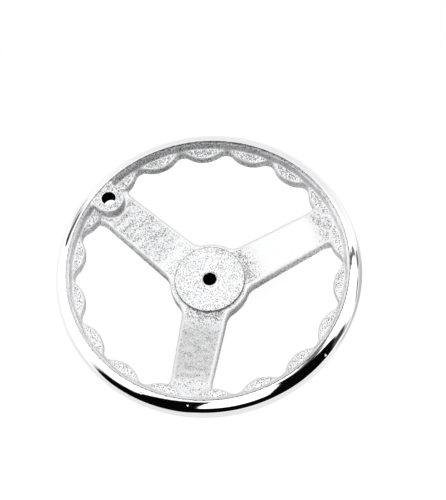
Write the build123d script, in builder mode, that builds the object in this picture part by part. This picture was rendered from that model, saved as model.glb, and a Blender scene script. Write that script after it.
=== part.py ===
from build123d import *
from math import cos, degrees, hypot, pi, radians, sin, sqrt, tan
import os

# Three-spoke machine handwheel, cast in aluminium in one piece.
# The outside of the rim is a turned and polished roll, its inside carries a ring of
# finger ripples, and a drilled boss at the end of one spoke takes the crank handle.
# The wheel turns about Z, and the hub's back face lies on Z = 0.

# Overall sizes, millimetres
wheel_diameter = 160.0
hub_length = 20.0
dish = 16.5                   # lip of the rim above the hub's front face

# Rim
roll_radius = 7.2             # section radius of the polished roll
lip_offset = 1.0              # lip, where the turned roll ends, outside the roll's centre circle
lip_bevel_width = 1.6
lip_bevel_drop = 1.1
rim_wall_inset = 3.0          # inner wall of the rim, inside the lip
rim_wall_height = 4.3         # from the foot of the bevel down
rim_back_taper_height = 6.4   # slanted stretch between the inner wall and the rim's back

# Finger ripples
ripple_pitch = 24.7           # along the inner wall, near enough for a whole number per spoke
ripple_depth = 5.3            # crest inside the inner wall
ripple_root_outset = 0.85     # sharp corner between two ripples, outside the lip
ripple_root_radius = 5.0      # rounding of that corner, which brings it in to the inner wall
ripple_top_drop = 4.4         # a ripple's top at the inner wall, below the rim's top
ripple_slope = 5.0            # fall of that top towards the hub, degrees
ripple_draft = 2.0            # rise of its underside towards the hub, degrees
ripple_thickness = 6.2        # at the inner wall
ripple_edge_round = 2.2

# Spokes
spoke_count = 3
spoke_first_angle = 30.0
spoke_hub_width = 25.0
spoke_rim_width = 21.0
spoke_flare_inset = 3.5       # start of the spread into the rim, inside the ripples' crests
spoke_flare_width = 33.0      # at the lip
spoke_flare_radius = 7.0
spoke_hub_thickness = 8.0
spoke_rim_thickness = 7.0
spoke_foot_inset = 1.0        # place where the top turns up, inside the ripples' crests
spoke_foot_drop = 5.9         # that place below the rim's top
spoke_head_drop = 3.8         # end of that rise, inside the rim, below the rim's top
spoke_foot_radius = 9.0
spoke_knee_radius = 14.0
spoke_edge_round = 2.0

# Hub
hub_face_diameter = 37.5
hub_face_step = 1.4           # turned face above the plate round it
hub_plate_ledge = 2.25        # edge of that plate outside the turned face
hub_corner_radius = 9.0       # between the hub plate and a spoke, in plan
hub_back_root_radius = 1.6    # between the plate and the back of the hub
hub_back_ledge = 0.4          # flat ring between that root and the plate's rounded edge
hub_back_chamfer = 1.0
hub_face_chamfer = 0.3
bore_diameter = 7.2
bore_chamfer = 0.4

# Handle boss
handle_spoke = 1              # number of the spoke that carries it, from 0
handle_hole_diameter = 7.6
handle_hole_inset = 13.2      # from the wheel's outside to the hole's axis
handle_hole_length = 9.4
handle_boss_width = 16.0
handle_boss_drop = 0.2        # its raw top below the rim's top
handle_boss_edge_round = 0.6
handle_seat_diameter = 13.0   # seat round the hole, sunk in the back

# Heights and radii that follow from those sizes
rim_top = hub_length + dish   # height of the lip
wheel_radius = wheel_diameter / 2
roll_center = wheel_radius - roll_radius
roll_height = rim_top - sqrt(roll_radius**2 - lip_offset**2)
rim_back = roll_height - roll_radius
lip_radius = roll_center + lip_offset
bevel_foot = (lip_radius - lip_bevel_width, rim_top - lip_bevel_drop)
wall_radius = lip_radius - rim_wall_inset
wall_foot = (wall_radius, bevel_foot[1] - rim_wall_height)

crest_radius = wall_radius - ripple_depth
ripples_per_spoke = round(2 * pi * wall_radius / (spoke_count * ripple_pitch))
ripple_count = spoke_count * ripples_per_spoke
ripple_half_angle = pi / ripple_count

plate_radius = hub_face_diameter / 2 + hub_plate_ledge
plate_top = hub_length - hub_face_step
plate_back = plate_top - spoke_hub_thickness
hub_back_radius = plate_radius - spoke_edge_round - hub_back_ledge - hub_back_root_radius
foot_radius = crest_radius - spoke_foot_inset
foot_top = rim_top - spoke_foot_drop
foot_back = foot_top - spoke_rim_thickness

handle_hole_distance = wheel_radius - handle_hole_inset
handle_angle = spoke_first_angle + handle_spoke * 360 / spoke_count
boss_top = rim_top - handle_boss_drop
boss_foot = foot_back + spoke_edge_round

# A lobe is the circle through a crest and the two corners beside it
corner_radius = lip_radius + ripple_root_outset
corner_rise = corner_radius * cos(ripple_half_angle) - crest_radius
corner_side = corner_radius * sin(ripple_half_angle)
lobe_radius = (corner_rise**2 + corner_side**2) / (2 * corner_rise)


def radius_of(shape):
    """Distance of the middle of a vertex, an edge or a face from the wheel's axis."""
    middle = shape.center()
    return hypot(middle.X, middle.Y)


def is_circle(radius):
    """Test for the circular edges of one radius."""
    return lambda edge: round(edge.radius - radius, 3) == 0


# One spoke in plan, along X: slightly tapered, with sides that spread into the rim
with BuildSketch() as arm:
    with BuildLine():
        side = FilletPolyline(
            (0, spoke_hub_width / 2),
            (crest_radius - spoke_flare_inset, spoke_rim_width / 2),
            (lip_radius, spoke_flare_width / 2),
            radius=spoke_flare_radius,
        )
        other_side = mirror(side, about=Plane.XZ)
        Line(side @ 0, other_side @ 0)
        Line(side @ 1, other_side @ 1)
    make_face()

# Hub plate and all spokes in plan
with BuildSketch() as spider_plan:
    Circle(plate_radius)
    with PolarLocations(0, spoke_count, start_angle=spoke_first_angle):
        add(arm.sketch)
    corners = spider_plan.vertices().group_by(radius_of)[0]
    fillet(corners, radius=hub_corner_radius)

# Hub plate and spokes: a dished disc cut to that plan, with rounded edges
with BuildPart() as spider:
    with BuildSketch(Plane.XZ):
        with BuildLine():
            front = FilletPolyline(
                (0, plate_top),
                (plate_radius, plate_top),
                (foot_radius, foot_top),
                (roll_center, rim_top - spoke_head_drop),
                radius=(spoke_knee_radius, spoke_foot_radius),
            )
            back = FilletPolyline(
                (0, plate_back),
                (plate_radius, plate_back),
                (foot_radius, foot_back),
                (roll_center, foot_back),
                radius=(spoke_knee_radius, spoke_foot_radius),
            )
            Line(front @ 0, back @ 0)
            Line(front @ 1, back @ 1)
        make_face()
    revolve(axis=Axis.Z)
    extrude(spider_plan.sketch, amount=rim_top, mode=Mode.INTERSECT)
    upright = faces().filter_by(lambda face: round(face.normal_at().Z, 3) == 0)
    sides = upright.sort_by(radius_of)[:-spoke_count]
    fillet(sides.edges().filter_by(Axis.Z, reverse=True), radius=spoke_edge_round)

# Window inside the ripples: a round opening bitten into by the lobes
with BuildSketch() as ripple_window:
    Circle(wheel_radius)
    with PolarLocations(crest_radius + lobe_radius, ripple_count,
                        start_angle=spoke_first_angle + degrees(ripple_half_angle)):
        Circle(lobe_radius, mode=Mode.SUBTRACT)
    fillet(ripple_window.vertices(), radius=ripple_root_radius)

# Ring of ripples: its top falls towards the hub, its underside rises, its edges are round
with BuildPart() as ripples:
    with BuildSketch(Plane.XZ):
        inner = crest_radius - ripple_edge_round
        width = roll_center - inner
        top_at_wall = rim_top - ripple_top_drop
        top_slope = tan(radians(ripple_slope))
        back_slope = tan(radians(ripple_draft))
        top_outside = top_at_wall + (roll_center - wall_radius) * top_slope
        back_outside = top_at_wall - ripple_thickness - (roll_center - wall_radius) * back_slope
        Polygon(
            (inner, back_outside + width * back_slope),
            (roll_center, back_outside),
            (roll_center, top_outside),
            (inner, top_outside - width * top_slope),
            align=None,
        )
    revolve(axis=Axis.Z)
    extrude(ripple_window.sketch, amount=rim_top, mode=Mode.SUBTRACT)
    inside = faces().filter_by(lambda face: round(face.normal_at().Z, 3) == 0).sort_by(radius_of)[:-1]
    fillet(inside.edges().filter_by(Axis.Z, reverse=True), radius=ripple_edge_round)

# Boss for the handle, D-shaped in plan: round towards the hub, square into the rim
with BuildPart() as handle_boss:
    with BuildSketch(Plane.XY.offset(boss_foot)):
        with BuildLine():
            half = handle_boss_width / 2
            Polyline(
                (handle_hole_distance, -half),
                (lip_radius, -half),
                (lip_radius, half),
                (handle_hole_distance, half),
            )
            ThreePointArc(
                (handle_hole_distance, half),
                (handle_hole_distance - half, 0),
                (handle_hole_distance, -half),
            )
        make_face()
    extrude(amount=boss_top - boss_foot)
    top_edges = edges().group_by(Axis.Z)[-1]
    fillet(top_edges.sort_by(Axis.X)[:-1], radius=handle_boss_edge_round)

# The whole casting, then its drilled and turned features
with BuildPart() as handwheel:
    with BuildSketch(Plane.XZ):
        with BuildLine():
            roll = ThreePointArc(
                (lip_radius, rim_top),
                (wheel_radius, roll_height),
                (roll_center, rim_back),
            )
            Polyline(
                roll @ 1,
                (wall_radius, rim_back + rim_back_taper_height),
                wall_foot,
                bevel_foot,
                roll @ 0,
            )
        make_face()
    revolve(axis=Axis.Z)
    add(ripples.part)
    add(spider.part)
    with Locations(Location((0, 0, 0), (0, 0, handle_angle))):
        add(handle_boss.part)

    # Hub: turned front face, and a narrower back that stands on Z = 0
    with BuildSketch(Plane.XY.offset(plate_top)):
        Circle(hub_face_diameter / 2)
    extrude(amount=hub_face_step)
    face_edges = edges().filter_by(GeomType.CIRCLE).filter_by(is_circle(hub_face_diameter / 2))
    chamfer(face_edges.sort_by(Axis.Z)[-1], length=hub_face_chamfer)
    with BuildSketch():
        Circle(hub_back_radius)
    extrude(amount=plate_back)
    back_edges = edges().filter_by(GeomType.CIRCLE).filter_by(is_circle(hub_back_radius))
    fillet(back_edges.sort_by(Axis.Z)[-1], radius=hub_back_root_radius)
    chamfer(back_edges.sort_by(Axis.Z)[0], length=hub_back_chamfer)
    with Locations((0, 0, hub_length)):
        Hole(bore_diameter / 2)
    bore_edges = edges().filter_by(GeomType.CIRCLE).filter_by(is_circle(bore_diameter / 2))
    chamfer(bore_edges, length=bore_chamfer)

    # Handle hole, right through, and its seat sunk in the back
    with BuildSketch(Plane.XY.offset(boss_top)):
        with PolarLocations(handle_hole_distance, 1, start_angle=handle_angle):
            Circle(handle_hole_diameter / 2)
    extrude(amount=-boss_top, mode=Mode.SUBTRACT)
    with BuildSketch(Plane.XY.offset(boss_top - handle_hole_length)):
        with PolarLocations(handle_hole_distance, 1, start_angle=handle_angle):
            Circle(handle_seat_diameter / 2)
    extrude(amount=-boss_top, mode=Mode.SUBTRACT)

handwheel.part.label = "handwheel"
os.makedirs("parts", exist_ok=True)
export_step(handwheel.part, "parts/handwheel.step")
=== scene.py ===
from math import cos, radians, sin, sqrt

import bmesh
import bpy
import numpy as np
from mathutils import Matrix, Vector


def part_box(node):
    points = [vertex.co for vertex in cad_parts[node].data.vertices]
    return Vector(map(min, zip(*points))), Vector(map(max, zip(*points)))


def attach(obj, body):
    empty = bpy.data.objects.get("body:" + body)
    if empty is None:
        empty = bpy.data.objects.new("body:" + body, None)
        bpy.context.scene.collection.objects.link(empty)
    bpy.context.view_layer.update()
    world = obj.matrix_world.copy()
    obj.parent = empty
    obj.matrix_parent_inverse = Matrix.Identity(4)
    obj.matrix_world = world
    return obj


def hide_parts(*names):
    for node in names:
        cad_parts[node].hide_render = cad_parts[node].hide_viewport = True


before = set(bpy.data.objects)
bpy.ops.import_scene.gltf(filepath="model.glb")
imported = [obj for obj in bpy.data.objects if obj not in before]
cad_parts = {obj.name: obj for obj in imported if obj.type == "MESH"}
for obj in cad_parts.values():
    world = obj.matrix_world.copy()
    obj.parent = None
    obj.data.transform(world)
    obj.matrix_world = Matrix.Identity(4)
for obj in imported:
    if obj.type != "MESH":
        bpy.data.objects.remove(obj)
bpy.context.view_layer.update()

nodeLow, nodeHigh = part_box("handwheel")
mm = 0.001

# The whole wheel, in millimetres, read from the frame
wheel = {
    "outerRadius": (nodeHigh[0] - nodeLow[0]) / 2 / mm,
    "top": nodeHigh[2] / mm,          # height of the lip, where turned meets raw
    "spokeCount": 3,
    "firstSpoke": 30.0,               # degrees from +X
}


def smoothMin(a, b, width):
    # minus the logarithm of the summed exponentials: the smaller of two heights, with a soft bend between
    return -width * np.logaddexp(-a / width, -b / width)


def bentLine(x, corner, slopeBefore, slopeAfter, radius):
    # height of two straight lines through a corner, with a circle of that radius rounding it off
    before, after = np.arctan(slopeBefore), np.arctan(slopeAfter)
    side = np.sign(after - before)
    tangent = radius * np.tan(abs(after - before) / 2)
    startX, startZ = corner[0] - tangent * np.cos(before), corner[1] - tangent * np.sin(before)
    endX = corner[0] + tangent * np.cos(after)
    middleX, middleZ = startX - side * radius * np.sin(before), startZ + side * radius * np.cos(before)
    curve = middleZ - side * np.sqrt(np.clip(radius ** 2 - (x - middleX) ** 2, 0, None))
    first = corner[1] + (x - corner[0]) * slopeBefore
    second = corner[1] + (x - corner[0]) * slopeAfter
    return np.where(x < startX, first, np.where(x > endX, second, curve))


def arc(center, radius, startAngle, endAngle, count):
    # points c + r (cos a, sin a) for evenly spaced angles, in degrees
    a = np.radians(np.linspace(startAngle, endAngle, count))
    return np.stack([center[0] + radius * np.cos(a), center[1] + radius * np.sin(a)], axis=1)


def waves(points, length, seed, count=24):
    # sum of cosines with random directions, lengths near the given one and random phases, about -1 to 1
    rng = np.random.default_rng(seed)
    ways = rng.normal(size=(count, points.shape[-1]))
    ways /= np.linalg.norm(ways, axis=1, keepdims=True)
    pace = 2 * np.pi / (length * rng.uniform(0.6, 1.6, (count, 1)))
    swing = np.cos(points @ (ways * pace).T + rng.uniform(0, 2 * np.pi, count)).sum(axis=-1)
    return swing / sqrt(count / 2) / 1.6


def gridPiece(name, points, closedAcross=True):
    # points[i, j] is a surface point: i goes round and closes, j goes across and closes unless it ends
    # in poles. Faces turn outwards, by the sign of the volume: a . (b x c) summed over the triangles
    rows, cols = points.shape[:2]
    i, j = np.meshgrid(np.arange(rows), np.arange(cols if closedAcross else cols - 1), indexing="ij")
    corners = [(i, j), ((i + 1) % rows, j), ((i + 1) % rows, (j + 1) % cols), (i, (j + 1) % cols)]
    quads = np.stack([a * cols + b for a, b in corners], axis=-1).reshape(-1, 4)
    flat = points.reshape(-1, 3) * mm
    a, b, c, d = (flat[quads[:, k]] for k in range(4))
    volume = np.einsum("ij,ij->", a, np.cross(b, c)) + np.einsum("ij,ij->", a, np.cross(c, d))
    if volume < 0:
        quads = quads[:, ::-1]
    mesh = bpy.data.meshes.new(name)
    mesh.vertices.add(len(flat))
    mesh.vertices.foreach_set("co", flat.ravel())
    mesh.loops.add(quads.size)
    mesh.loops.foreach_set("vertex_index", quads.ravel())
    mesh.polygons.add(len(quads))
    mesh.polygons.foreach_set("loop_start", np.arange(0, quads.size, 4))
    mesh.update(calc_edges=True)
    work = bmesh.new()
    work.from_mesh(mesh)
    bmesh.ops.remove_doubles(work, verts=work.verts, dist=1e-7)
    bmesh.ops.dissolve_degenerate(work, edges=work.edges, dist=1e-7)
    work.to_mesh(mesh)
    work.free()
    piece = bpy.data.objects.new(name, mesh)
    bpy.context.scene.collection.objects.link(piece)
    return piece


def revolved(name, profile, segments, closedAcross=True):
    # (r cos t, r sin t, z) for every profile point (r, z) and every angle t; the profile may change with t
    t = np.linspace(0, 2 * np.pi, segments, endpoint=False)[:, None]
    profile = np.broadcast_to(profile, (segments, *profile.shape[-2:]))
    r, z = profile[..., 0], profile[..., 1]
    return gridPiece(name, np.stack([r * np.cos(t), r * np.sin(t), z], axis=-1), closedAcross)


def turned(points, angle):
    # the same points turned about the wheel's axis
    c, s = cos(angle), sin(angle)
    x, y, z = points[..., 0], points[..., 1], points[..., 2]
    return np.stack([c * x - s * y, s * x + c * y, z], axis=-1)


def placesOf(mesh):
    # vertex places in millimetres, one row each
    points = np.empty(len(mesh.vertices) * 3)
    mesh.vertices.foreach_get("co", points)
    return points.reshape(-1, 3) / mm


def normalsOf(mesh):
    normals = np.empty(len(mesh.vertices) * 3)
    mesh.vertex_normals.foreach_get("vector", normals)
    return normals.reshape(-1, 3)


def rising(value, start, width):
    # 0 up to the start and 1 from a width beyond it, straight in between
    return np.clip((value - start) / width, 0, 1)


def falling(value, end, width):
    # 1 up to a width before the end and 0 beyond it, straight in between
    return np.clip((end - value) / width, 0, 1)


def towards(theta, direction, power):
    # cosine of the angle from a direction in degrees, raised to a power, and nought on the other half
    return np.clip(np.cos(theta - radians(direction)), 0, 1) ** power


def painted(mesh, name, values):
    # a number on every vertex, for a material to read
    mesh.attributes.new(name, "FLOAT", "POINT").data.foreach_set("value", values.astype(np.float32))


def applyModifiers(piece):
    depsgraph = bpy.context.evaluated_depsgraph_get()
    mesh = bpy.data.meshes.new_from_object(piece.evaluated_get(depsgraph))
    old = piece.data
    piece.modifiers.clear()
    piece.data = mesh
    bpy.data.meshes.remove(old)


def joined(name, parts):
    with bpy.context.temp_override(active_object=parts[0], selected_editable_objects=parts):
        bpy.ops.object.join()
    parts[0].name = name
    parts[0].data.name = name
    return parts[0]


def drop(piece):
    mesh = piece.data
    bpy.data.objects.remove(piece)
    bpy.data.meshes.remove(mesh)


def shaded(piece, angle):
    # smooth, but for edges sharper than an angle in degrees
    piece.data.shade_smooth()
    piece.data.set_sharp_from_angle(angle=radians(angle))
    return piece


# Rim: the outside is turned and polished up to the lip, then comes a raw bevel and the inner wall
rim = {
    "rollRadius": 7.2,                # section of the roll
    "lipOffset": 1.0,                 # lip outside the roll's centre circle
    "bevelWidth": 1.6,
    "bevelDrop": 1.1,
    "wallInset": 2.65,                # inner wall where the ripples meet it, inside the lip
    "backInset": 3.0,                 # the same wall further down
    "backTaper": 6.4,
    "raggedness": 0.22,               # how far polishing strays over the lip
    "raggedLengths": (3.0, 1.3),      # mm between the teeth of that edge, long and short
    "raggedShare": 0.6,               # what each length adds
    "around": 960,
    "across": 44,
    "crowding": 1.1,                  # above 1 the rings lie a little closer near the lip
}

rollCenter = wheel["outerRadius"] - rim["rollRadius"]
lipRadius = rollCenter + rim["lipOffset"]
rollHeight = wheel["top"] - sqrt(rim["rollRadius"] ** 2 - rim["lipOffset"] ** 2)
rimBack = rollHeight - rim["rollRadius"]
bevelFoot = (lipRadius - rim["bevelWidth"], wheel["top"] - rim["bevelDrop"])
wallRadius = lipRadius - rim["wallInset"]
backRadius = lipRadius - rim["backInset"]
lipAngle = np.degrees(np.arctan2(wheel["top"] - rollHeight, rim["lipOffset"]))


def polishedRim():
    # (rollCenter + R cos a, rollHeight + R sin a) from the ragged edge at the lip, over the outside, to the
    # back, closed inside the casting
    around = rim["around"]
    t = np.linspace(0, 2 * np.pi, around, endpoint=False)
    on = np.stack([np.cos(t), np.sin(t)], axis=1) * lipRadius
    part, (long, short) = rim["raggedShare"], rim["raggedLengths"]
    teeth = part * waves(on, long, 3) + part * waves(on, short, 4)
    ragged = np.clip(teeth - 0.1, 0, 1.5) * rim["raggedness"]
    start = lipAngle - np.degrees(ragged / rim["rollRadius"])
    share = np.linspace(0, 1, rim["across"]) ** rim["crowding"]
    a = np.radians(start[:, None] + (-90 - start[:, None]) * share)
    rollR, rollZ = rollCenter + rim["rollRadius"] * np.cos(a), rollHeight + rim["rollRadius"] * np.sin(a)
    roll = np.stack([rollR, rollZ], axis=-1)
    inside = np.array([
        (rollCenter + 0.5, rimBack + 1.0),
        (rollCenter + 1.5, rollHeight),
        (lipRadius, wheel["top"] - 1.5),
    ])
    profile = np.concatenate([roll, np.broadcast_to(inside, (around, *inside.shape))], axis=1)
    piece = revolved("polishedRim", profile, around)
    return shaded(piece, 40)


# Raw bevel between the polish and the wall
lip = {
    "around": 720,
    "tuck": 7.0,                      # degrees that it runs on beneath the polished roll
    "tuckDepth": 0.04,
    "rings": (0.08, 0.16, 0.28, 0.5, 0.72, 0.84, 0.92),      # shares of its width
    # its foot, from the bevel's: down the wall, then back inside the casting
    "foot": [(0.03, -0.06), (-0.05, -0.3), (-0.16, -0.9), (0.6, -1.4), (2.2, -0.6)],
    "left": (190, 2),                 # sides of the wheel: direction in degrees, and how narrow
    "far": (100, 2),
    "near": (-50, 1),
    "footLine": 0.16,                 # half width of the grey line along the foot, painted shade
    # everywhere, and what the near and the far side add: half width of the line along the lip, greyness of
    # both lines as painted shade, pitting of the strip (what the far side adds to it is partly painted shade)
    "edgeLine": (0.17, 0.38, 0.20),
    "edgePaintedShade": (0.60, 1.00, 0.40),
    "footPaintedShade": (0.50, 0.60, 0.00),
    "grain": (0.30, 0.00, 0.60),
    "leftPaintedShade": 0.20,                 # painted shade: greyness of the whole strip on those sides
    "farPaintedShade": 0.60,
    "tuckPoints": 6,
}


def lipBand():
    # a crisp strip turned about the axis, with grey lines of painted shade as bells round its foot and round
    # the lip
    tuckRadius = rim["rollRadius"] - lip["tuckDepth"]
    under = arc((rollCenter, rollHeight), tuckRadius, lipAngle - lip["tuck"], lipAngle, lip["tuckPoints"])
    share = np.array(lip["rings"])[:, None]
    bevel = under[-1] + (np.array(bevelFoot) + (0.1, 0.0) - under[-1]) * share
    down = np.array(bevelFoot) + np.array(lip["foot"])
    piece = revolved("lipBand", np.concatenate([under, bevel, down]), lip["around"])
    places = placesOf(piece.data)
    r, theta = np.hypot(places[:, 0], places[:, 1]), np.arctan2(places[:, 1], places[:, 0])
    left, far, near = (towards(theta, *lip[side]) for side in ("left", "far", "near"))

    def sided(everywhere, nearMore, farMore):
        return everywhere + nearMore * near + farMore * far

    foot = np.exp(-((r - bevelFoot[0] - 0.05) / lip["footLine"]) ** 2)
    edge = np.exp(-((r - lipRadius) / sided(*lip["edgeLine"])) ** 2)
    # painted shade: grey lines along the foot and the lip, and grey over the left and far sides
    lines = foot * sided(*lip["footPaintedShade"]) + edge * sided(*lip["edgePaintedShade"])
    painted(piece.data, "grain", sided(*lip["grain"]))
    painted(piece.data, "paintedShade", lines + lip["leftPaintedShade"] * left + lip["farPaintedShade"] * far)
    return shaded(piece, 25)


# Finger ripples inside the rim
ripples = {
    "count": 18,
    "crestInset": 8.3,                # crest inside the lip
    "cornerOutset": 0.85,             # sharp corner between two lobes, outside the lip
    "hollowRadius": 5.0,              # rounding of that corner
    "topDrop": 4.4,                   # top of a ripple at the wall, below the lip
    "slope": 5.0,
    "draft": 2.0,
    "thickness": 6.2,
    "noseRound": 1.4,                 # rounding of the edge at a crest
    "hollowRound": 1.0,               # and between two ripples
    "footRadius": 1.0,                # hollow between the wall and a ripple's top
    "crown": 0.35,                    # swelling of a ripple's top
    "crownMiddle": 1.4,               # its highest place, further in than the edge's rounding
    "crownReach": 1.2,                # half its length, on top of that rounding
    "around": 900,
    "noseRings": 12,
    "topRings": 40,
    "underRings": 24,
    "underBlend": 0.3,                # softness of the bend between a ripple's underside and the rim's back
    "leastHeight": 0.2,               # of the edge between top and underside
}

crestRadius = lipRadius - ripples["crestInset"]


def inRipple(r, theta):
    # how far a point lies inside the scalloped outline, R - |p - c| by a lobe and |p - h| - R by a hollow
    half = np.pi / ripples["count"]
    corner = lipRadius + ripples["cornerOutset"]
    rise, side = corner * cos(half) - crestRadius, corner * sin(half)
    lobe = (rise ** 2 + side ** 2) / (2 * rise)      # circle through a crest and the two corners beside it
    center = crestRadius + lobe
    hollow = ripples["hollowRadius"]
    away = center * cos(half) - sqrt((lobe + hollow) ** 2 - (center * sin(half)) ** 2)
    hollowX, hollowY = away * cos(half), away * sin(half)
    f = np.abs((theta - radians(wheel["firstSpoke"])) % (2 * half) - half)
    x, y = r * np.cos(f), r * np.sin(f)
    lobeDepth = lobe - np.hypot(x - center, y)
    hollowDepth = np.hypot(x - hollowX, y - hollowY) - hollow
    byHollow = (hollowX - center) * y - hollowY * (x - center) < 0
    return np.where(byHollow, hollowDepth, lobeDepth)


def crestShare(theta):
    # 1 at a crest and 0 in a hollow, as a squared cosine
    return np.cos((theta - radians(wheel["firstSpoke"])) * ripples["count"] / 2 - np.pi / 2) ** 2


def rippleEdge(theta):
    # polar radius where that depth is nought, found by halving
    low, high = np.full_like(theta, crestRadius - 2), np.full_like(theta, lipRadius)
    for _ in range(40):
        middle = (low + high) / 2
        outside = inRipple(middle, theta) < 0
        low, high = np.where(outside, middle, low), np.where(outside, high, middle)
    return high


def edgeDrop(depth, radius):
    # fall of a rounded edge: r - sqrt(r^2 - (r - d)^2) at depth d inside the outline
    inside = np.clip(radius - depth, 0, radius)
    return radius - np.sqrt(radius ** 2 - inside ** 2)


def rippleRing():
    # heights above and below as functions of (r, theta), from the scalloped edge out to the rim's wall
    theta = np.linspace(0, 2 * np.pi, ripples["around"], endpoint=False)[:, None]
    edge = rippleEdge(theta)
    nose = ripples["hollowRound"] + (ripples["noseRound"] - ripples["hollowRound"]) * crestShare(theta)
    topAtWall = wheel["top"] - ripples["topDrop"]
    underAtWall = topAtWall - ripples["thickness"]
    wallSlope = (bevelFoot[1] - topAtWall) / (bevelFoot[0] - wallRadius)
    backSlope = rim["backTaper"] / (rollCenter - backRadius)
    draft = np.tan(radians(ripples["draft"]))

    def topHeight(r):
        depth = inRipple(r, theta)
        fromCrown = (depth - nose - ripples["crownMiddle"]) / (nose + ripples["crownReach"])
        swell = ripples["crown"] * np.clip(1 - fromCrown ** 2, 0, 1)
        slope = np.tan(radians(ripples["slope"]))
        shelf = bentLine(r, (wallRadius, topAtWall), slope, wallSlope, ripples["footRadius"])
        return shelf + swell - edgeDrop(depth, nose)

    def underHeight(r):
        shelf = underAtWall + (wallRadius - r) * draft + edgeDrop(inRipple(r, theta), nose)
        back = rimBack + (rollCenter - r) * backSlope
        return smoothMin(shelf, back, ripples["underBlend"])

    # rings outwards from the edge: close together on its rounding, by 1 - cos a, then evenly spaced
    step = nose * np.append(1 - np.cos(np.radians(np.linspace(0, 80, ripples["noseRings"]))), 1.0)

    def ringsTo(outer, count):
        even = edge + nose + (outer - edge - nose) * np.linspace(0, 1, count)[1:]
        return np.concatenate([edge + step, even], axis=1)

    underR, topR = ringsTo(rollCenter, ripples["underRings"]), ringsTo(bevelFoot[0], ripples["topRings"])
    underZ = underHeight(underR)
    topZ = np.maximum(np.minimum(topHeight(topR), bevelFoot[1]), underZ[:, :1] + ripples["leastHeight"])
    # inside the roll, where nothing shows
    hidden = np.array([
        (lipRadius, wheel["top"] - 0.15),
        (rollCenter + 3.0, wheel["top"] - 2.5),
        (rollCenter + 3.0, rimBack + 2.5),
    ])
    ones = np.ones_like(theta)
    r = np.concatenate([underR[:, ::-1], topR, ones * hidden[:, 0]], axis=1)
    z = np.concatenate([underZ[:, ::-1], topZ, ones * hidden[:, 1]], axis=1)
    return gridPiece("rippleRing", np.stack([r * np.cos(theta), r * np.sin(theta), z], axis=-1))


# Hub: a plate that the spokes start from, with a boss behind it and a turned face in front
hub = {
    "length": 20.0,
    "faceRadius": 18.6,
    "faceStep": 1.4,
    "plateRadius": 21.2,
    "plateRound": 1.3,
    "cornerRadius": 9.0,
    "backRadius": 17.0,
    "rootRadius": 1.6,
    "backChamfer": 1.0,
    "faceChamfer": 0.3,
    "boreRadius": 3.6,
    "boreChamfer": 0.4,
    "faceSink": 0.6,                  # how deep the face is let into the plate
    "faceRings": 24,
    "faceSides": 240,
    "plateSides": 180,
    "faceGrain": 0.57,                # pitting of the face, and what its outer part adds
    "outerGrain": 0.08,
    "wallPaintedShade": 1.0,                  # painted shade: greyness of the step round the face, and of its chamfer
    "chamferPaintedShade": 0.7,
}

# Spokes
spokes = {
    "hubWidth": 25.0,
    "rimWidth": 21.0,
    "flareInset": 3.5,                # start of the spread, inside the crests
    "flareWidth": 33.0,
    "flareRadius": 7.0,
    "hubThickness": 8.0,
    "rimThickness": 7.0,
    "footInset": 1.0,                 # place where the top turns up, inside the crests
    "footDrop": 5.9,
    "headDrop": 3.8,
    "footRadius": 9.0,
    "kneeRadius": 14.0,
    "edgeRound": 2.0,
    "start": 6.0,                     # inside the hub, clear of the bore
    "past": 0.8,                      # how far they run on past the roll's centre circle
    "stations": 150,
    "roundPoints": 8,
}

plateTop = hub["length"] - hub["faceStep"]
plateBack = plateTop - spokes["hubThickness"]
footRadius = crestRadius - spokes["footInset"]
footTop = wheel["top"] - spokes["footDrop"]
footBack = footTop - spokes["rimThickness"]


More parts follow.
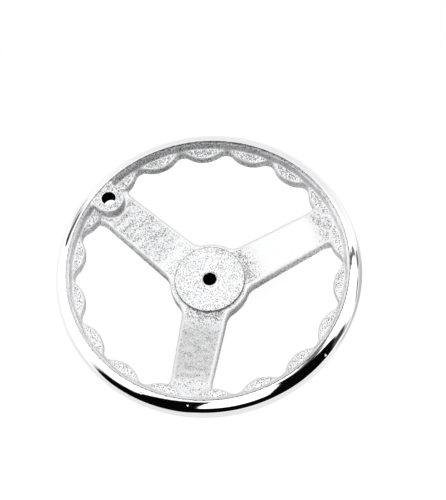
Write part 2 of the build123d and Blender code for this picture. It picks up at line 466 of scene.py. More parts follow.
def spokeShell(index):
    # a rounded rectangle carried outwards along the spoke: its width, top and underside are functions of x
    x = np.linspace(spokes["start"], rollCenter + spokes["past"], spokes["stations"])[:, None]
    flareStart = crestRadius - spokes["flareInset"]
    taper = (spokes["hubWidth"] - spokes["rimWidth"]) / 2 / flareStart
    flareSlope = (spokes["flareWidth"] - spokes["rimWidth"]) / 2 / (lipRadius - flareStart)
    half = bentLine(x, (flareStart, spokes["rimWidth"] / 2), -taper, flareSlope, spokes["flareRadius"])
    # hub corner: a circle of the corner radius that touches the hub plate and the spoke's side
    c = hub["cornerRadius"]
    cornerY = spokes["hubWidth"] / 2 - taper * hub["plateRadius"] + c
    cornerX = sqrt((hub["plateRadius"] + c) ** 2 - cornerY ** 2)
    touchX = cornerX * hub["plateRadius"] / (hub["plateRadius"] + c)
    bite = np.sqrt(np.clip(c ** 2 - (cornerX - np.clip(x, touchX, cornerX)) ** 2, 0, None))
    half = np.where(x < cornerX, np.maximum(half, cornerY - bite), half)
    half = np.where(x < touchX, np.minimum(half, cornerY - bite) * (x / touchX) ** 0.5, half)

    plate, foot = hub["plateRadius"], footRadius
    middle = (plate + foot) / 2
    rise = (footTop - plateTop) / (foot - plate)
    headRise = (wheel["top"] - spokes["headDrop"] - footTop) / (rollCenter - foot)
    backRise = (footBack - plateBack) / (foot - plate)
    knee, toe = spokes["kneeRadius"], spokes["footRadius"]
    top = np.where(x < middle, bentLine(x, (plate, plateTop), 0, rise, knee),
                   bentLine(x, (foot, footTop), rise, headRise, toe))
    back = np.where(x < middle, bentLine(x, (plate, plateBack), 0, backRise, knee),
                    bentLine(x, (foot, footBack), backRise, 0, toe))

    e = spokes["edgeRound"]
    quarter = np.radians(np.linspace(0, 90, spokes["roundPoints"]))
    sides, heights = [], []
    corners = ((1, 1, quarter), (-1, 1, quarter[::-1]), (-1, -1, quarter), (1, -1, quarter[::-1]))
    for sideSign, upSign, a in corners:
        sides.append(sideSign * (half - e + e * np.cos(a)))
        heights.append((top - e if upSign > 0 else back + e) + upSign * e * np.sin(a))
    y = np.concatenate(sides, axis=1)
    z = np.concatenate(heights, axis=1)
    points = np.stack([x * np.ones_like(y), y, z], axis=-1)
    ends = [np.broadcast_to(p.mean(axis=1, keepdims=True), p.shape) for p in (points[:1], points[-1:])]
    points = np.concatenate([ends[0], points, ends[1]], axis=0)
    angle = radians(wheel["firstSpoke"] + index * 360 / wheel["spokeCount"])
    return gridPiece(f"spokeShell{index}", turned(points, angle).transpose(1, 0, 2), closedAcross=False)


def hubShell():
    # the plate and the boss behind it, turned about the axis
    h = hub
    e = h["plateRound"]
    profile = np.concatenate([
        [(0, 0), (h["backRadius"] - h["backChamfer"], 0), (h["backRadius"], h["backChamfer"])],
        arc((h["backRadius"] + h["rootRadius"], plateBack - h["rootRadius"]), h["rootRadius"], 180, 90, 8),
        arc((h["plateRadius"] - e, plateBack + e), e, -90, 0, 8),
        arc((h["plateRadius"] - e, plateTop - e), e, 0, 90, 8),
        [(0, plateTop)],
    ])
    return revolved("hubShell", profile, h["plateSides"], closedAcross=False)


def hubFace():
    # the turned disc on the hub, with its bore, let into the plate; rings close together carry its pitting,
    # and painted shade greys its step and chamfer
    h = hub
    foot = plateTop - h["faceSink"]
    chamferFoot = h["faceRadius"] - h["faceChamfer"]
    across = np.linspace(chamferFoot - 0.15, h["boreRadius"] + h["boreChamfer"], h["faceRings"])
    top = np.stack([across, np.full(h["faceRings"], h["length"])], axis=1)
    profile = np.concatenate([
        [(h["boreRadius"], foot), (h["faceRadius"], foot), (h["faceRadius"], plateTop + 0.5)],
        [(h["faceRadius"], h["length"] - h["faceChamfer"])],
        [(chamferFoot, h["length"])],
        top,
        [(h["boreRadius"], h["length"] - h["boreChamfer"])],
    ])
    piece = revolved("hubFace", profile, h["faceSides"])
    places = placesOf(piece.data)
    r, z = np.hypot(places[:, 0], places[:, 1]), places[:, 2]
    painted(piece.data, "grain", h["faceGrain"] + h["outerGrain"] * rising(r, 14, 4))
    # painted shade on the step round the face and on its chamfer
    edgePaintedShade = np.where(z < h["length"] - 0.2, h["wallPaintedShade"], h["chamferPaintedShade"])
    painted(piece.data, "paintedShade", np.where(r > chamferFoot - 0.05, edgePaintedShade, 0.0))
    return shaded(piece, 30)


# Boss for the crank handle, at the end of one spoke
handle = {
    "spoke": 1,
    "holeInset": 13.2,
    "holeRadius": 3.8,
    "holeLength": 9.4,
    "bossHalfWidth": 8.0,
    "bossDrop": 0.2,
    "edgeRound": 0.6,
    "seatRadius": 6.5,
    "lipInset": 0.4,                  # its straight end, inside the lip
    "footLift": 2.0,                  # its foot, above the underside of the spokes
    "sidePoints": 14,
    "noseSteps": 60,
    "roundPoints": 5,
}

bossTop = wheel["top"] - handle["bossDrop"]
holeDistance = wheel["outerRadius"] - handle["holeInset"]
handleAngle = radians(wheel["firstSpoke"] + handle["spoke"] * 360 / wheel["spokeCount"])
holeCenter = (holeDistance * cos(handleAngle), holeDistance * sin(handleAngle))


def bossShell():
    # a D in plan, round towards the hub, carried up to the lip with a small rounding at its top edge
    half = handle["bossHalfWidth"]
    outer = lipRadius - handle["lipInset"]
    corners = np.array([(holeDistance, -half), (outer, -half), (outer, half), (holeDistance, half)])
    sides = [np.linspace(p, q, handle["sidePoints"])[1:] for p, q in zip(corners[:-1], corners[1:])]
    straight = np.concatenate(sides)
    outline = np.concatenate([arc((holeDistance, 0), half, 90, 270, handle["noseSteps"]), straight[:-1]])
    center = np.array([holeDistance, 0.0])
    e = handle["edgeRound"]
    a = np.radians(np.linspace(0, 90, handle["roundPoints"]))
    insets = np.concatenate([[half, 0], e - e * np.cos(a), [half]])
    foot = footBack + handle["footLift"]
    heights = np.concatenate([[foot, foot], bossTop - e + e * np.sin(a), [bossTop]])
    away = outline - center
    reach = np.linalg.norm(away, axis=1, keepdims=True)
    share = np.where(insets >= half, 0, 1 - insets / reach)
    xy = center + away[:, None, :] * share[..., None]
    z = np.broadcast_to(heights, xy.shape[:2])
    points = np.concatenate([xy, z[..., None]], axis=-1)
    return gridPiece("bossShell", turned(points, handleAngle), closedAcross=False)


# The casting as poured
casting = {
    "voxel": 0.52,                    # mm
    "smoothing": 3,                   # rounds of it, and its strength
    "softness": 0.5,
    "triangles": 185000,
    "cutSides": 128,
    "weld": 0.01,                     # corners closer than this become one, after the cuts
    "waviness": 0.07,                 # height of the low swells of a sand-cast skin
    "waves": ((0.6, 9.0, 1), (0.5, 3.6, 2)),      # share, length in mm and seed of each swell
    "ridgeHeight": 0.45,              # flow mark beside the hub, from one point to another
    "ridge": ((-21.5, 14.6), (-14.8, 12.9)),
    "ridgeWidth": 0.7,
}


def cutter(name, radius, low, high, center):
    profile = np.array([(0, low), (radius, low), (radius, high), (0, high)])
    piece = revolved(name, profile, casting["cutSides"], closedAcross=False)
    piece.data.transform(Matrix.Translation(Vector((*center, 0)) * mm))
    return piece


def toSegment(points, start, end):
    # distance from each point to a straight stretch between two others, in plan
    start, along = np.array(start), np.array(end) - np.array(start)
    share = np.clip((points - start) @ along / (along @ along), 0, 1)
    return np.linalg.norm(points - start - share[:, None] * along, axis=1)


def roughened(mesh):
    # raised along the normals by long low waves, and by a narrow bell along the flow mark
    places, normals = placesOf(mesh), normalsOf(mesh)
    r = np.hypot(places[:, 0], places[:, 1])
    # none at the hub's back and none near the lip
    free = rising(places[:, 2], 0.5, 2) * falling(r, lipRadius - 2, 2)
    swells = sum(share * waves(places, length, seed) for share, length, seed in casting["waves"])
    height = casting["waviness"] * free * swells
    gap = toSegment(places[:, :2], *casting["ridge"])
    facingUp = normals[:, 2] > 0.7
    height += casting["ridgeHeight"] * np.exp(-(gap / casting["ridgeWidth"]) ** 2) * facingUp
    mesh.vertices.foreach_set("co", ((places + normals * height[:, None]) * mm).ravel())
    mesh.update()


# Two numbers on every point of the raw skin. grain: how thickly it is pitted. The other: painted shade, how
# grey the skin is made where shade falls
skin = {
    "flat": (0.93, 0.05),             # upward share of a normal where a face begins to count as flat, and
    "upright": (0.75, 0.5),           # as upright, each with the width of the change
    "edge": (0.3, 1.0),               # mm that stay bare along a ripple's edge, and the width of the change
    "foot": (0.1, 0.5),               # the same before the wall
    "spokeEdge": (0.5, 1.4),          # and for a spoke: bare from so far outside its side
    "tops": (0.68, 0.18),             # grain of the ripples' tops, and what the far side adds, partly painted shade
    "walls": (0.45, 0.50),            # the same for their upright faces
    "sides": (0.75, 0.15),            # and for those of the spokes and the hub
    "wallPaintedShade": 0.06,                 # painted shade on the ripples' upright faces, on the far side
    "sidePaintedShade": (0.15, 0.40),         # painted shade on other upright faces, and what facing away from the camera's side adds
    "plate": 0.62,
    "boss": 0.75,
    "bossReach": 14.0,                # mm
    "far": (105, 1),                  # sides of the wheel: direction in degrees, and how narrow
    "farLeft": (120, 2),
    "spokeArea": (15, 16, 60),        # mm: start of a spoke, reach sideways, and end of its bare edges
    "stations": (24, 32, 57, 62),     # mm along a spoke: hub end, middle from and to, rim end
    # grain and painted shade of each spoke at the hub, along its middle and at the rim; the grain's
    # differences between spokes are partly painted shade too
    "spokes": [
        {"grain": (0.80, 0.00, 1.00), "paintedShade": (0.05, 0.00, 0.15)},
        {"grain": (0.60, 1.00, 0.95), "paintedShade": (0.00, 0.12, 0.08)},
        {"grain": (0.86, 0.68, 0.74), "paintedShade": (0.00, 0.40, 0.02)},
    ],
    "browWidth": 0.4,                 # slant between the wall and the lip: grain and painted shade on the far left
    "brow": (0.95, 0.50),
}


def grained(mesh):
    # flat tops are pitted by where they lie, upright faces are pitted and painted grey as shade, rounded
    # edges stay bare
    places, normals = placesOf(mesh), normalsOf(mesh)
    x, y, z = places.T
    r, theta = np.hypot(x, y), np.arctan2(y, x)
    depth = inRipple(r, theta)
    flat, upright = rising(normals[:, 2], *skin["flat"]), falling(normals[:, 2], *skin["upright"])
    averted = np.clip(normals[:, 1], 0, 1)
    far, farLeft = towards(theta, *skin["far"]), towards(theta, *skin["farLeft"])
    onRing = (r > crestRadius - 0.3) & (depth > -0.2)
    onBoss = (z > bossTop - 1.0) & (np.hypot(x - holeCenter[0], y - holeCenter[1]) < skin["bossReach"])

    # tops of the ripples, inside their edge and short of the wall, and the hub's plate
    bare, width = skin["foot"]
    shelf = rising(depth, *skin["edge"]) * falling(r, wallRadius - bare, width)
    tops, more = skin["tops"]
    # thicker pitting on the far side: partly painted shade
    grain = np.where(onRing, shelf * (tops + more * far), skin["plate"] * flat)
    # painted shade: upright faces greyer, the ripples' on the far side, the others more where they face away
    # from the camera's side
    sidePaintedShade, avertedPaintedShade = skin["sidePaintedShade"]
    paintedShade = upright * np.where(onRing, skin["wallPaintedShade"] * far, sidePaintedShade + avertedPaintedShade * averted)

    # spokes, each with its own grain and painted shade
    start, halfWidth, edgeEnd = skin["spokeArea"]
    outset, width = skin["spokeEdge"]
    for index, spoke in enumerate(skin["spokes"]):
        angle = radians(wheel["firstSpoke"] + index * 360 / wheel["spokeCount"])
        along, across = x * cos(angle) + y * sin(angle), -x * sin(angle) + y * cos(angle)
        onSpoke = (along > start) & (np.abs(across) < halfWidth) & ~onRing
        inEdge = falling(np.abs(across), spokes["rimWidth"] / 2 + outset, width)
        edge = np.where(along < edgeEnd, inEdge, 1)
        there = {}
        for kind in ("grain", "paintedShade"):
            hubEnd, middle, rimEnd = spoke[kind]
            there[kind] = flat * edge * np.interp(along, skin["stations"], (hubEnd, middle, middle, rimEnd))
        grain = np.where(onSpoke, there["grain"], grain)
        paintedShade = paintedShade + np.where(onSpoke, there["paintedShade"], 0)

    # upright faces, then the slant between the wall and the lip
    (walls, moreWalls), (sides, moreSides) = skin["walls"], skin["sides"]
    # thicker pitting on the far side and far left: partly painted shade
    standing = upright * np.where(onRing, walls + moreWalls * farLeft, sides + moreSides * far)
    grain = np.where(onBoss, skin["boss"] * flat, np.maximum(grain, standing))
    # painted shade on the slant between the wall and the lip, on the far left
    brow = farLeft * rising(r, wallRadius, skin["browWidth"]) * (1 - upright) * ~onBoss
    browGrain, browPaintedShade = skin["brow"]
    grain = np.maximum(grain, browGrain * brow)
    paintedShade = paintedShade + browPaintedShade * brow
    painted(mesh, "grain", grain)
    painted(mesh, "paintedShade", np.clip(paintedShade, 0, 1))


def castBody():
    # the shells are poured into one skin: voxels fuse them, smoothing rounds every hollow and edge
    parts = [rippleRing(), hubShell(), bossShell()] + [spokeShell(i) for i in range(wheel["spokeCount"])]
    body = joined("castBody", parts)
    fuse = body.modifiers.new("fuse", "REMESH")
    fuse.mode = "VOXEL"
    fuse.voxel_size = casting["voxel"] * mm
    soften = body.modifiers.new("soften", "SMOOTH")
    soften.factor = casting["softness"]
    soften.iterations = casting["smoothing"]
    applyModifiers(body)
    roughened(body.data)
    # the voxel skin is all quads, two triangles each
    thin = body.modifiers.new("thin", "DECIMATE")
    thin.ratio = casting["triangles"] / (2 * len(body.data.polygons))
    applyModifiers(body)

    seat = bossTop - handle["holeLength"]
    # each from a height below to a height above what it goes through
    cuts = [
        cutter("boreCut", hub["boreRadius"], -5, 40, (0, 0)),
        cutter("holeCut", handle["holeRadius"], seat - 3, 45, holeCenter),
        cutter("seatCut", handle["seatRadius"], 10, seat, holeCenter),
    ]
    for cut in cuts:
        trim = body.modifiers.new(cut.name, "BOOLEAN")
        trim.object = cut
        trim.operation = "DIFFERENCE"
        trim.solver = "MANIFOLD"
        applyModifiers(body)
        drop(cut)
    # the cuts leave slivers, which are closed up
    weld = body.modifiers.new("weld", "WELD")
    weld.merge_threshold = casting["weld"] * mm
    body.modifiers.new("triangles", "TRIANGULATE")
    applyModifiers(body)
    grained(body.data)
    return shaded(body, 50)


def drilledFaces(mesh):
    # polygons of the bore and the handle hole: upright, with middles no further from its axis than its radius
    slack = 0.02                      # mm
    count = len(mesh.polygons)
    middles, normals = np.empty(count * 3), np.empty(count * 3)
    mesh.polygons.foreach_get("center", middles)
    mesh.polygons.foreach_get("normal", normals)
    middles, normals = middles.reshape(-1, 3) / mm, normals.reshape(-1, 3)
    x, y = middles[:, 0], middles[:, 1]
    inBore = np.hypot(x, y) < hub["boreRadius"] + slack
    inHole = np.hypot(x - holeCenter[0], y - holeCenter[1]) < handle["holeRadius"] + slack
    return (inBore | inHole) & (np.abs(normals[:, 2]) < 0.5)


def hexColor(code):
    # sRGB hex to linear RGBA
    s = np.array([int(code[i:i + 2], 16) for i in (1, 3, 5)]) / 255
    linear = np.where(s <= 0.04045, s / 12.92, ((s + 0.055) / 1.055) ** 2.4)
    return (*linear, 1.0)


def node(tree, kind, settings=None, **links):
    # adds a shader node, sets its fields, and fills its sockets with values, outputs or other nodes, which
    # stand for their first output; a socket is named, or given as i and its number
    new = tree.nodes.new("ShaderNode" + kind)
    for field, value in (settings or {}).items():
        setattr(new, field, value)
    for key, value in links.items():
        numbered = key[0] == "i" and key[1:].isdigit()
        socket = new.inputs[int(key[1:]) if numbered else key.replace("_", " ")]
        if isinstance(value, bpy.types.Node):
            value = value.outputs[0]
        if isinstance(value, bpy.types.NodeSocket):
            tree.links.new(value, socket)
        else:
            socket.default_value = value
    return new


def newMaterial(name):
    material = bpy.data.materials.new(name)
    material.use_nodes = True
    material.node_tree.nodes.clear()
    return material, material.node_tree


# Raw skin
rawSkin = {
    "color": "#F4F4F5",
    "mottleColor": "#BDBDBE",
    "pitColor": "#666668",
    # colour of the painted shade
    "paintedShadeColor": "#4C4C4E",
    "mottleSize": 0.7,                # mm; real blasting grit leaves about 0.3, too fine to show here
    "mottleShare": 0.15,              # of the grain, on top of the painted shade
    "pitSpacing": 0.74,               # mm
    "pitReach": 0.66,                 # radius of the largest pits, as a share of their spacing
    "patchSize": 6.0,                 # mm between patches with more pits and patches with fewer
    "paintedShadeSize": 1.1,                  # mm, patches of the painted shade
    "turn": (0.62, 0.47, 0.31),       # radians, out of line with the wheel, so that no row of pits shows
    "roughness": 0.55,
    "bumpStrength": 0.35,
    "bumpDepth": 0.15,                # mm
}


def blastedCastAluminium():
    # sand-cast and blasted aluminium: pale, matt metal, mottled and peppered with fine dull pits, and greyed
    # by painted shade
    material, tree = newMaterial("blastedCastAluminium")
    place = node(tree, "TexCoord").outputs["Object"]
    place = node(tree, "Mapping", Vector=place, Rotation=rawSkin["turn"])
    grain = node(tree, "Attribute", {"attribute_name": "grain"}).outputs["Fac"]
    paintedShade = node(tree, "Attribute", {"attribute_name": "paintedShade"}).outputs["Fac"]
    patch = node(tree, "TexNoise", Vector=place, Scale=1 / (rawSkin["patchSize"] * mm), Detail=2.0)
    uneven = node(tree, "MapRange", Value=patch, From_Min=0.35, From_Max=0.65, To_Min=0.88, To_Max=1.08)
    amount = node(tree, "Math", {"operation": "MULTIPLY"}, i0=uneven, i1=grain)

    # soft mottling, where a fine noise is high
    fine = node(tree, "TexNoise", Vector=place, Scale=1 / (rawSkin["mottleSize"] * mm), Detail=1.0)
    blots = node(tree, "MapRange", {"interpolation_type": "SMOOTHSTEP"}, Value=fine,
                 From_Min=0.42, From_Max=0.60, To_Min=0.0, To_Max=1.0)
    much = node(tree, "Math", {"operation": "MULTIPLY_ADD"}, i0=amount, i1=rawSkin["mottleShare"], i2=paintedShade)
    mottled = node(tree, "Math", {"operation": "MULTIPLY", "use_clamp": True}, i0=much, i1=blots)
    color = node(tree, "Mix", {"data_type": "RGBA"}, i0=mottled,
                 i6=hexColor(rawSkin["color"]), i7=hexColor(rawSkin["mottleColor"])).outputs[2]

    # pits, round the points of a jittered grid: the more grain, the larger they are
    cells = node(tree, "TexVoronoi", Vector=place, Scale=1 / (rawSkin["pitSpacing"] * mm))
    inside = node(tree, "Math", {"operation": "MULTIPLY"}, i0=amount, i1=rawSkin["pitReach"])
    inside = node(tree, "Math", {"operation": "SUBTRACT"}, i0=inside, i1=cells)
    holes = node(tree, "MapRange", {"interpolation_type": "SMOOTHSTEP"},
                 Value=inside, From_Min=-0.05, From_Max=0.06, To_Min=0.0, To_Max=1.0)
    # some pits are deep and dark, others are shallow
    chance = node(tree, "SeparateXYZ", Vector=cells.outputs["Color"]).outputs["X"]
    deep = node(tree, "MapRange", Value=chance, To_Min=0.3, To_Max=1.0)
    pits = node(tree, "Math", {"operation": "MULTIPLY"}, i0=holes, i1=deep)
    color = node(tree, "Mix", {"data_type": "RGBA"}, i0=pits, i6=color,
                 i7=hexColor(rawSkin["pitColor"])).outputs[2]

    # painted shade, broken up by a noise of its own
    streaks = node(tree, "TexNoise", Vector=place, Scale=1 / (rawSkin["paintedShadeSize"] * mm), Detail=2.0)
    broken = node(tree, "MapRange", Value=streaks, From_Min=0.38, From_Max=0.62, To_Min=0.45, To_Max=1.0)
    paintedShadeAmount = node(tree, "Math", {"operation": "MULTIPLY"}, i0=broken, i1=paintedShade)
    withPaintedShade = node(tree, "Mix", {"data_type": "RGBA"}, i0=paintedShadeAmount, i6=color,
                  i7=hexColor(rawSkin["paintedShadeColor"]))
    height = node(tree, "Math", {"operation": "MAXIMUM"}, i0=mottled, i1=pits)
    bump = node(tree, "Bump", {"invert": True}, Strength=rawSkin["bumpStrength"],
                Distance=rawSkin["bumpDepth"] * mm, Height=height)
    shader = node(tree, "BsdfPrincipled", Base_Color=withPaintedShade.outputs[2], Metallic=1.0,
                  Roughness=rawSkin["roughness"], Normal=bump)
    node(tree, "OutputMaterial", Surface=shader)
    return material


# Polished skin
polish = {
    "color": "#F6F6F7",
    "roughness": 0.04,
    "swell": 7.0,                     # mm between the faint waves that buffing leaves
    "swellStrength": 0.12,
    "swellDepth": 0.2,                # mm
    "nickSpacing": 8.0,               # mm
    "nickStrength": 0.8,
    "nickDepth": 0.3,                 # mm
}


def polishedAluminium():
    # turned and buffed aluminium: bright and mirror-like, its image of the room faintly rippled
    material, tree = newMaterial("polishedAluminium")
    place = node(tree, "TexCoord").outputs["Object"]
    swell = node(tree, "TexNoise", Vector=place, Scale=1 / (polish["swell"] * mm), Detail=2.0)
    bump = node(tree, "Bump", Strength=polish["swellStrength"],
                Distance=polish["swellDepth"] * mm, Height=swell)
    # a few nicks, at the points of a wide jittered grid
    cells = node(tree, "TexVoronoi", Vector=place, Scale=1 / (polish["nickSpacing"] * mm))
    nicks = node(tree, "MapRange", Value=cells, From_Min=0.03, From_Max=0.08)
    bump = node(tree, "Bump", Strength=polish["nickStrength"], Distance=polish["nickDepth"] * mm,
                Height=nicks, Normal=bump)
    shader = node(tree, "BsdfPrincipled", Base_Color=hexColor(polish["color"]), Metallic=1.0,
                  Roughness=polish["roughness"], Normal=bump)
    node(tree, "OutputMaterial", Surface=shader)
    return material


# Inside of the drilled holes
drilled = {
    # near black: painted shade
    "color": "#0E0E0F",
    "edgeColor": "#5C5C5D",           # its colour at a glancing look
    "roughness": 0.6,
    "ringSize": 6.0,                  # mm, sets how close the drill's faint rings lie
    "ringStrength": 0.2,
    "ringDepth": 0.05,                # mm
}


def paintedShadeInHoles():
    # drilled aluminium, near black: painted shade for the darkness deep in a hole
    material, tree = newMaterial("paintedShadeInHoles")
    place = node(tree, "TexCoord").outputs["Object"]
    rings = node(tree, "TexWave", {"wave_type": "BANDS", "bands_direction": "Z"}, Vector=place,
                 Scale=1 / (drilled["ringSize"] * mm), Distortion=1.0)
    bump = node(tree, "Bump", Strength=drilled["ringStrength"],
                Distance=drilled["ringDepth"] * mm, Height=rings.outputs["Fac"])
    shader = node(tree, "BsdfPrincipled", Base_Color=hexColor(drilled["color"]), Metallic=1.0,
                  Roughness=drilled["roughness"], Specular_Tint=hexColor(drilled["edgeColor"]),
                  Normal=bump)
    node(tree, "OutputMaterial", Surface=shader)
    return material


# A sheet of white card on a table, lit from all round and more strongly from overhead; dark things stand
# low on the camera's side
studio = {
    "cardRadius": 200.0,              # mm
    "cardSides": 96,
    "cardDrop": 0.1,                  # mm under the hub's back, so that the two faces don't share a plane
    "cardColor": "#F0F0F0",
    "cardGlow": 0.9,                  # the card's white as the camera sees it: what no shadow takes away,
    "shadowedColor": "#707070",       # and the part that a shadow can
    "cardInMetal": 0.97,              # its brightness as the metal shows it
    "cardFront": 0.87,                # the same on the near side
    "nearFrom": (-90.0, -20.0),       # mm, where the near side's brightness turns into the rest's
    # on the card as the metal shows it: x, y and reach in mm, and brightness; the darkest one counts
    "shades": [
        (0.0, 5.0, 66.0, 0.40),
        (148.0, 52.0, 46.0, 0.55),
        (118.0, 14.0, 40.0, 0.52),
        (114.0, -20.0, 22.0, 0.60),
    ],
    "shadeEdge": (0.45, 1.2),         # shares of the reach where a shade starts and ends to fade
    "hubDark": (12.0, 22.0),          # mm from the axis: under the hub no light reaches the card
    "level": 1.24,                    # brightness of the world where no patch lies
    # azimuth and elevation of the middle, half sizes in degrees, lean, 2 for round or 8 for square,
    # soft edge, brightness
    "patches": [
        (150, 62, 60, 30, 0, 2, 0.6, 1.28),
        (26, 62, 48, 26, 0, 2, 0.6, 1.95),
        (290, 55, 52, 20, 0, 2, 0.5, 2.80),
        (92, 12, 44, 42, 0, 2, 0.5, 0.91),
        (284, 9, 73, 20, 0, 8, 0.12, 0.002),
        (240, 5, 29, 31, 0, 2, 0.10, 0.002),
        (250, 32, 18, 47, 0, 6, 0.08, 0.002),
        (334, 33, 25, 45, 0.25, 2, 0.08, 0.002),
        (357, 10, 6, 16, 0, 2, 0.4, 0.05),
        (4, 68.5, 18, 5, 0, 2, 0.4, 0.02),
        (30, 73, 40, 3.5, 0, 2, 0.5, 0.20),
        (32, -7, 9, 7, 0, 2, 0.5, 0.55),
        (44.2, 36, 2.3, 16, 0.42, 2, 0.3, 0.2),
        (55.5, 54, 3.8, 7, 1.05, 2, 0.3, 0.12),
        (34.5, 6.5, 4, 7, 0, 2, 0.4, 0.05),
        (20.5, -3, 3, 11, 0.45, 2, 0.4, 0.12),
        (2, -9, 6, 4, 0, 2, 0.4, 0.25),
        (142, 6, 5, 14, 0, 2, 0.6, 0.62),
        (148, 24, 4.2, 11, -0.2, 2, 0.12, 0.04),
        (143, 28, 4.5, 10, -0.25, 2, 0.45, 0.12),
    ],
}


def whiteCard():
    # the camera sees it white with a faint shadow, and mirroring metal sees it bright with soft shades;
    # all other light falls on plain white card
    material, tree = newMaterial("whiteCard")
    seen = node(tree, "LightPath")
    direct = node(tree, "Math", {"operation": "MAXIMUM"},
                  i0=seen.outputs["Is Camera Ray"], i1=seen.outputs["Is Transmission Ray"])
    plain = node(tree, "BsdfDiffuse", Color=hexColor(studio["cardColor"]))
    shadowed = node(tree, "BsdfDiffuse", Color=hexColor(studio["shadowedColor"]))
    glow = node(tree, "Emission", Color=hexColor("#FFFFFF"), Strength=studio["cardGlow"])
    place = node(tree, "TexCoord").outputs["Object"]
    # brightness in the metal, painted shade: dimmer on the near side, and in soft round shades
    forward = node(tree, "SeparateXYZ", Vector=place).outputs["Y"]
    nearest, farthest = studio["nearFrom"]
    dimmed = node(tree, "MapRange", Value=forward, From_Min=nearest * mm, From_Max=farthest * mm,
                  To_Min=studio["cardFront"], To_Max=studio["cardInMetal"])
    start, end = studio["shadeEdge"]
    for x, y, reach, bright in studio["shades"]:
        apart = node(tree, "VectorMath", {"operation": "DISTANCE"}, i0=place, i1=(x * mm, y * mm, 0))
        shade = node(tree, "MapRange", {"interpolation_type": "SMOOTHSTEP"},
                     Value=apart.outputs["Value"], From_Min=start * reach * mm, From_Max=end * reach * mm,
                     To_Min=bright, To_Max=1.0)
        dimmed = node(tree, "Math", {"operation": "MINIMUM"}, i0=dimmed, i1=shade)
    mirrored = node(tree, "Emission", Color=hexColor("#FFFFFF"), Strength=dimmed)
    white = node(tree, "AddShader", i0=glow, i1=shadowed)
    away = node(tree, "VectorMath", {"operation": "LENGTH"}, Vector=place).outputs["Value"]
    inner, outer = studio["hubDark"]
    lit = node(tree, "MapRange", Value=away, From_Min=inner * mm, From_Max=outer * mm)
    dark = node(tree, "BsdfDiffuse", Color=hexColor("#000000"))
    mirrored = node(tree, "MixShader", i0=lit, i1=dark, i2=mirrored)
    surface = node(tree, "MixShader", i0=seen.outputs["Is Glossy Ray"], i1=plain, i2=mirrored)
    surface = node(tree, "MixShader", i0=direct, i1=surface, i2=white)
    node(tree, "OutputMaterial", Surface=surface)
    return material


def studioFloor():
    # a flat disc: points on a circle round the middle of the wheel
    t = np.linspace(0, 2 * np.pi, studio["cardSides"], endpoint=False)
    ring = np.stack([np.cos(t), np.sin(t), 0 * t], axis=1) * studio["cardRadius"] * mm
    ring[:, 2] = -studio["cardDrop"] * mm
    mesh = bpy.data.meshes.new("floor")
    mesh.from_pydata(ring.tolist(), [], [tuple(range(len(ring)))])
    floor = bpy.data.objects.new("floor", mesh)
    bpy.context.scene.collection.objects.link(floor)
    mesh.materials.append(whiteCard())


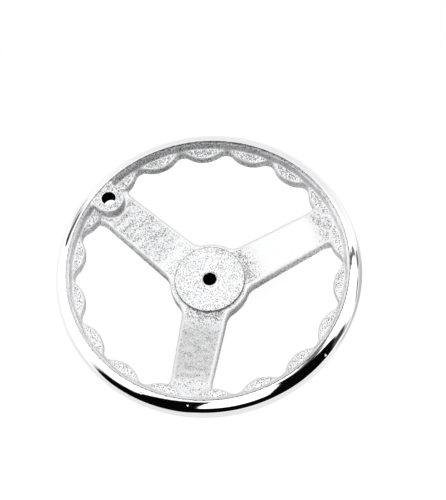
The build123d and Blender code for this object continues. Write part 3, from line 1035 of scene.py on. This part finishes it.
def studioWorld():
    # brightness by direction: patches painted one over another; the camera itself sees plain white
    world = bpy.data.worlds.new("studio")
    bpy.context.scene.world = world
    world.use_nodes = True
    tree = world.node_tree
    tree.nodes.clear()
    way = node(tree, "SeparateXYZ", Vector=node(tree, "TexCoord").outputs["Generated"])
    azimuth = node(tree, "Math", {"operation": "ARCTAN2"}, i0=way.outputs["Y"], i1=way.outputs["X"])
    elevation = node(tree, "Math", {"operation": "ARCSINE"}, i0=way.outputs["Z"])
    level = node(tree, "Value").outputs["Value"]
    level.default_value = studio["level"]
    for az, el, halfAz, halfEl, lean, square, soft, bright in studio["patches"]:
        # (|a / halfAz|^p + |e / halfEl|^p)^(1/p) is 1 on the patch's outline
        e = node(tree, "Math", {"operation": "SUBTRACT"}, i0=elevation, i1=radians(el))
        leant = node(tree, "Math", {"operation": "MULTIPLY_ADD"}, i0=e, i1=lean, i2=radians(az))
        a = node(tree, "Math", {"operation": "SUBTRACT"}, i0=azimuth, i1=leant)
        a = node(tree, "Math", {"operation": "WRAP"}, i0=a, i1=np.pi, i2=-np.pi)
        powers = []
        for part, half in ((a, halfAz), (e, halfEl)):
            part = node(tree, "Math", {"operation": "DIVIDE"}, i0=part, i1=radians(half))
            part = node(tree, "Math", {"operation": "ABSOLUTE"}, i0=part)
            powers.append(node(tree, "Math", {"operation": "POWER"}, i0=part, i1=square))
        reach = node(tree, "Math", {"operation": "ADD"}, i0=powers[0], i1=powers[1])
        reach = node(tree, "Math", {"operation": "POWER"}, i0=reach, i1=1 / square)
        inside = node(tree, "MapRange", {"interpolation_type": "SMOOTHSTEP"},
                      Value=reach, From_Min=1 - soft, From_Max=1 + soft, To_Min=1.0, To_Max=0.0)
        level = node(tree, "Mix", {"data_type": "FLOAT"}, i0=inside, i2=level, i3=bright).outputs[0]
    seen = node(tree, "LightPath").outputs["Is Camera Ray"]
    light = node(tree, "Background", Color=hexColor("#FFFFFF"), Strength=level)
    backdrop = node(tree, "Background", Color=hexColor("#FFFFFF"), Strength=1.0)
    surface = node(tree, "MixShader", i0=seen, i1=light, i2=backdrop)
    node(tree, "OutputWorld", Surface=surface)


camera = {
    "lens": 109.81,
    "aim": (5.39, 15.0, 25.0),        # mm
    "azimuth": 16.2,
    "elevation": 64.37,
    "distance": 804.5,
    "roll": -9.12,
}


def placeCamera():
    data = bpy.data.cameras.new("camera")
    data.lens = camera["lens"]
    data.sensor_width = 36.0
    data.clip_start, data.clip_end = 0.01, 100
    eye = bpy.data.objects.new("camera", data)
    bpy.context.scene.collection.objects.link(eye)
    a, e = radians(camera["azimuth"]), radians(camera["elevation"])
    back = Vector((sin(a) * cos(e), -cos(a) * cos(e), sin(e)))
    roll = Matrix.Rotation(radians(camera["roll"]), 4, "Z")
    turn = back.to_track_quat("Z", "Y").to_matrix().to_4x4() @ roll
    eye.matrix_world = Matrix.Translation((Vector(camera["aim"]) + back * camera["distance"]) * mm) @ turn
    bpy.context.scene.camera = eye


print("fusing the casting")
body = castBody()
print("body faces", len(body.data.polygons), "dressing the pieces")
raw, buffed, dark = blastedCastAluminium(), polishedAluminium(), paintedShadeInHoles()
for piece, material in ((body, raw), (lipBand(), raw), (hubFace(), raw), (polishedRim(), buffed)):
    piece.data.materials.clear()
    piece.data.materials.append(material)
    if material is raw:
        piece.data.materials.append(dark)
        piece.data.polygons.foreach_set("material_index", drilledFaces(piece.data).astype(np.int32))
    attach(piece, "root")
    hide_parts("handwheel")

print("setting the stage and the lights")
studioFloor()
studioWorld()
placeCamera()
bpy.context.scene.view_settings.view_transform = "Standard"
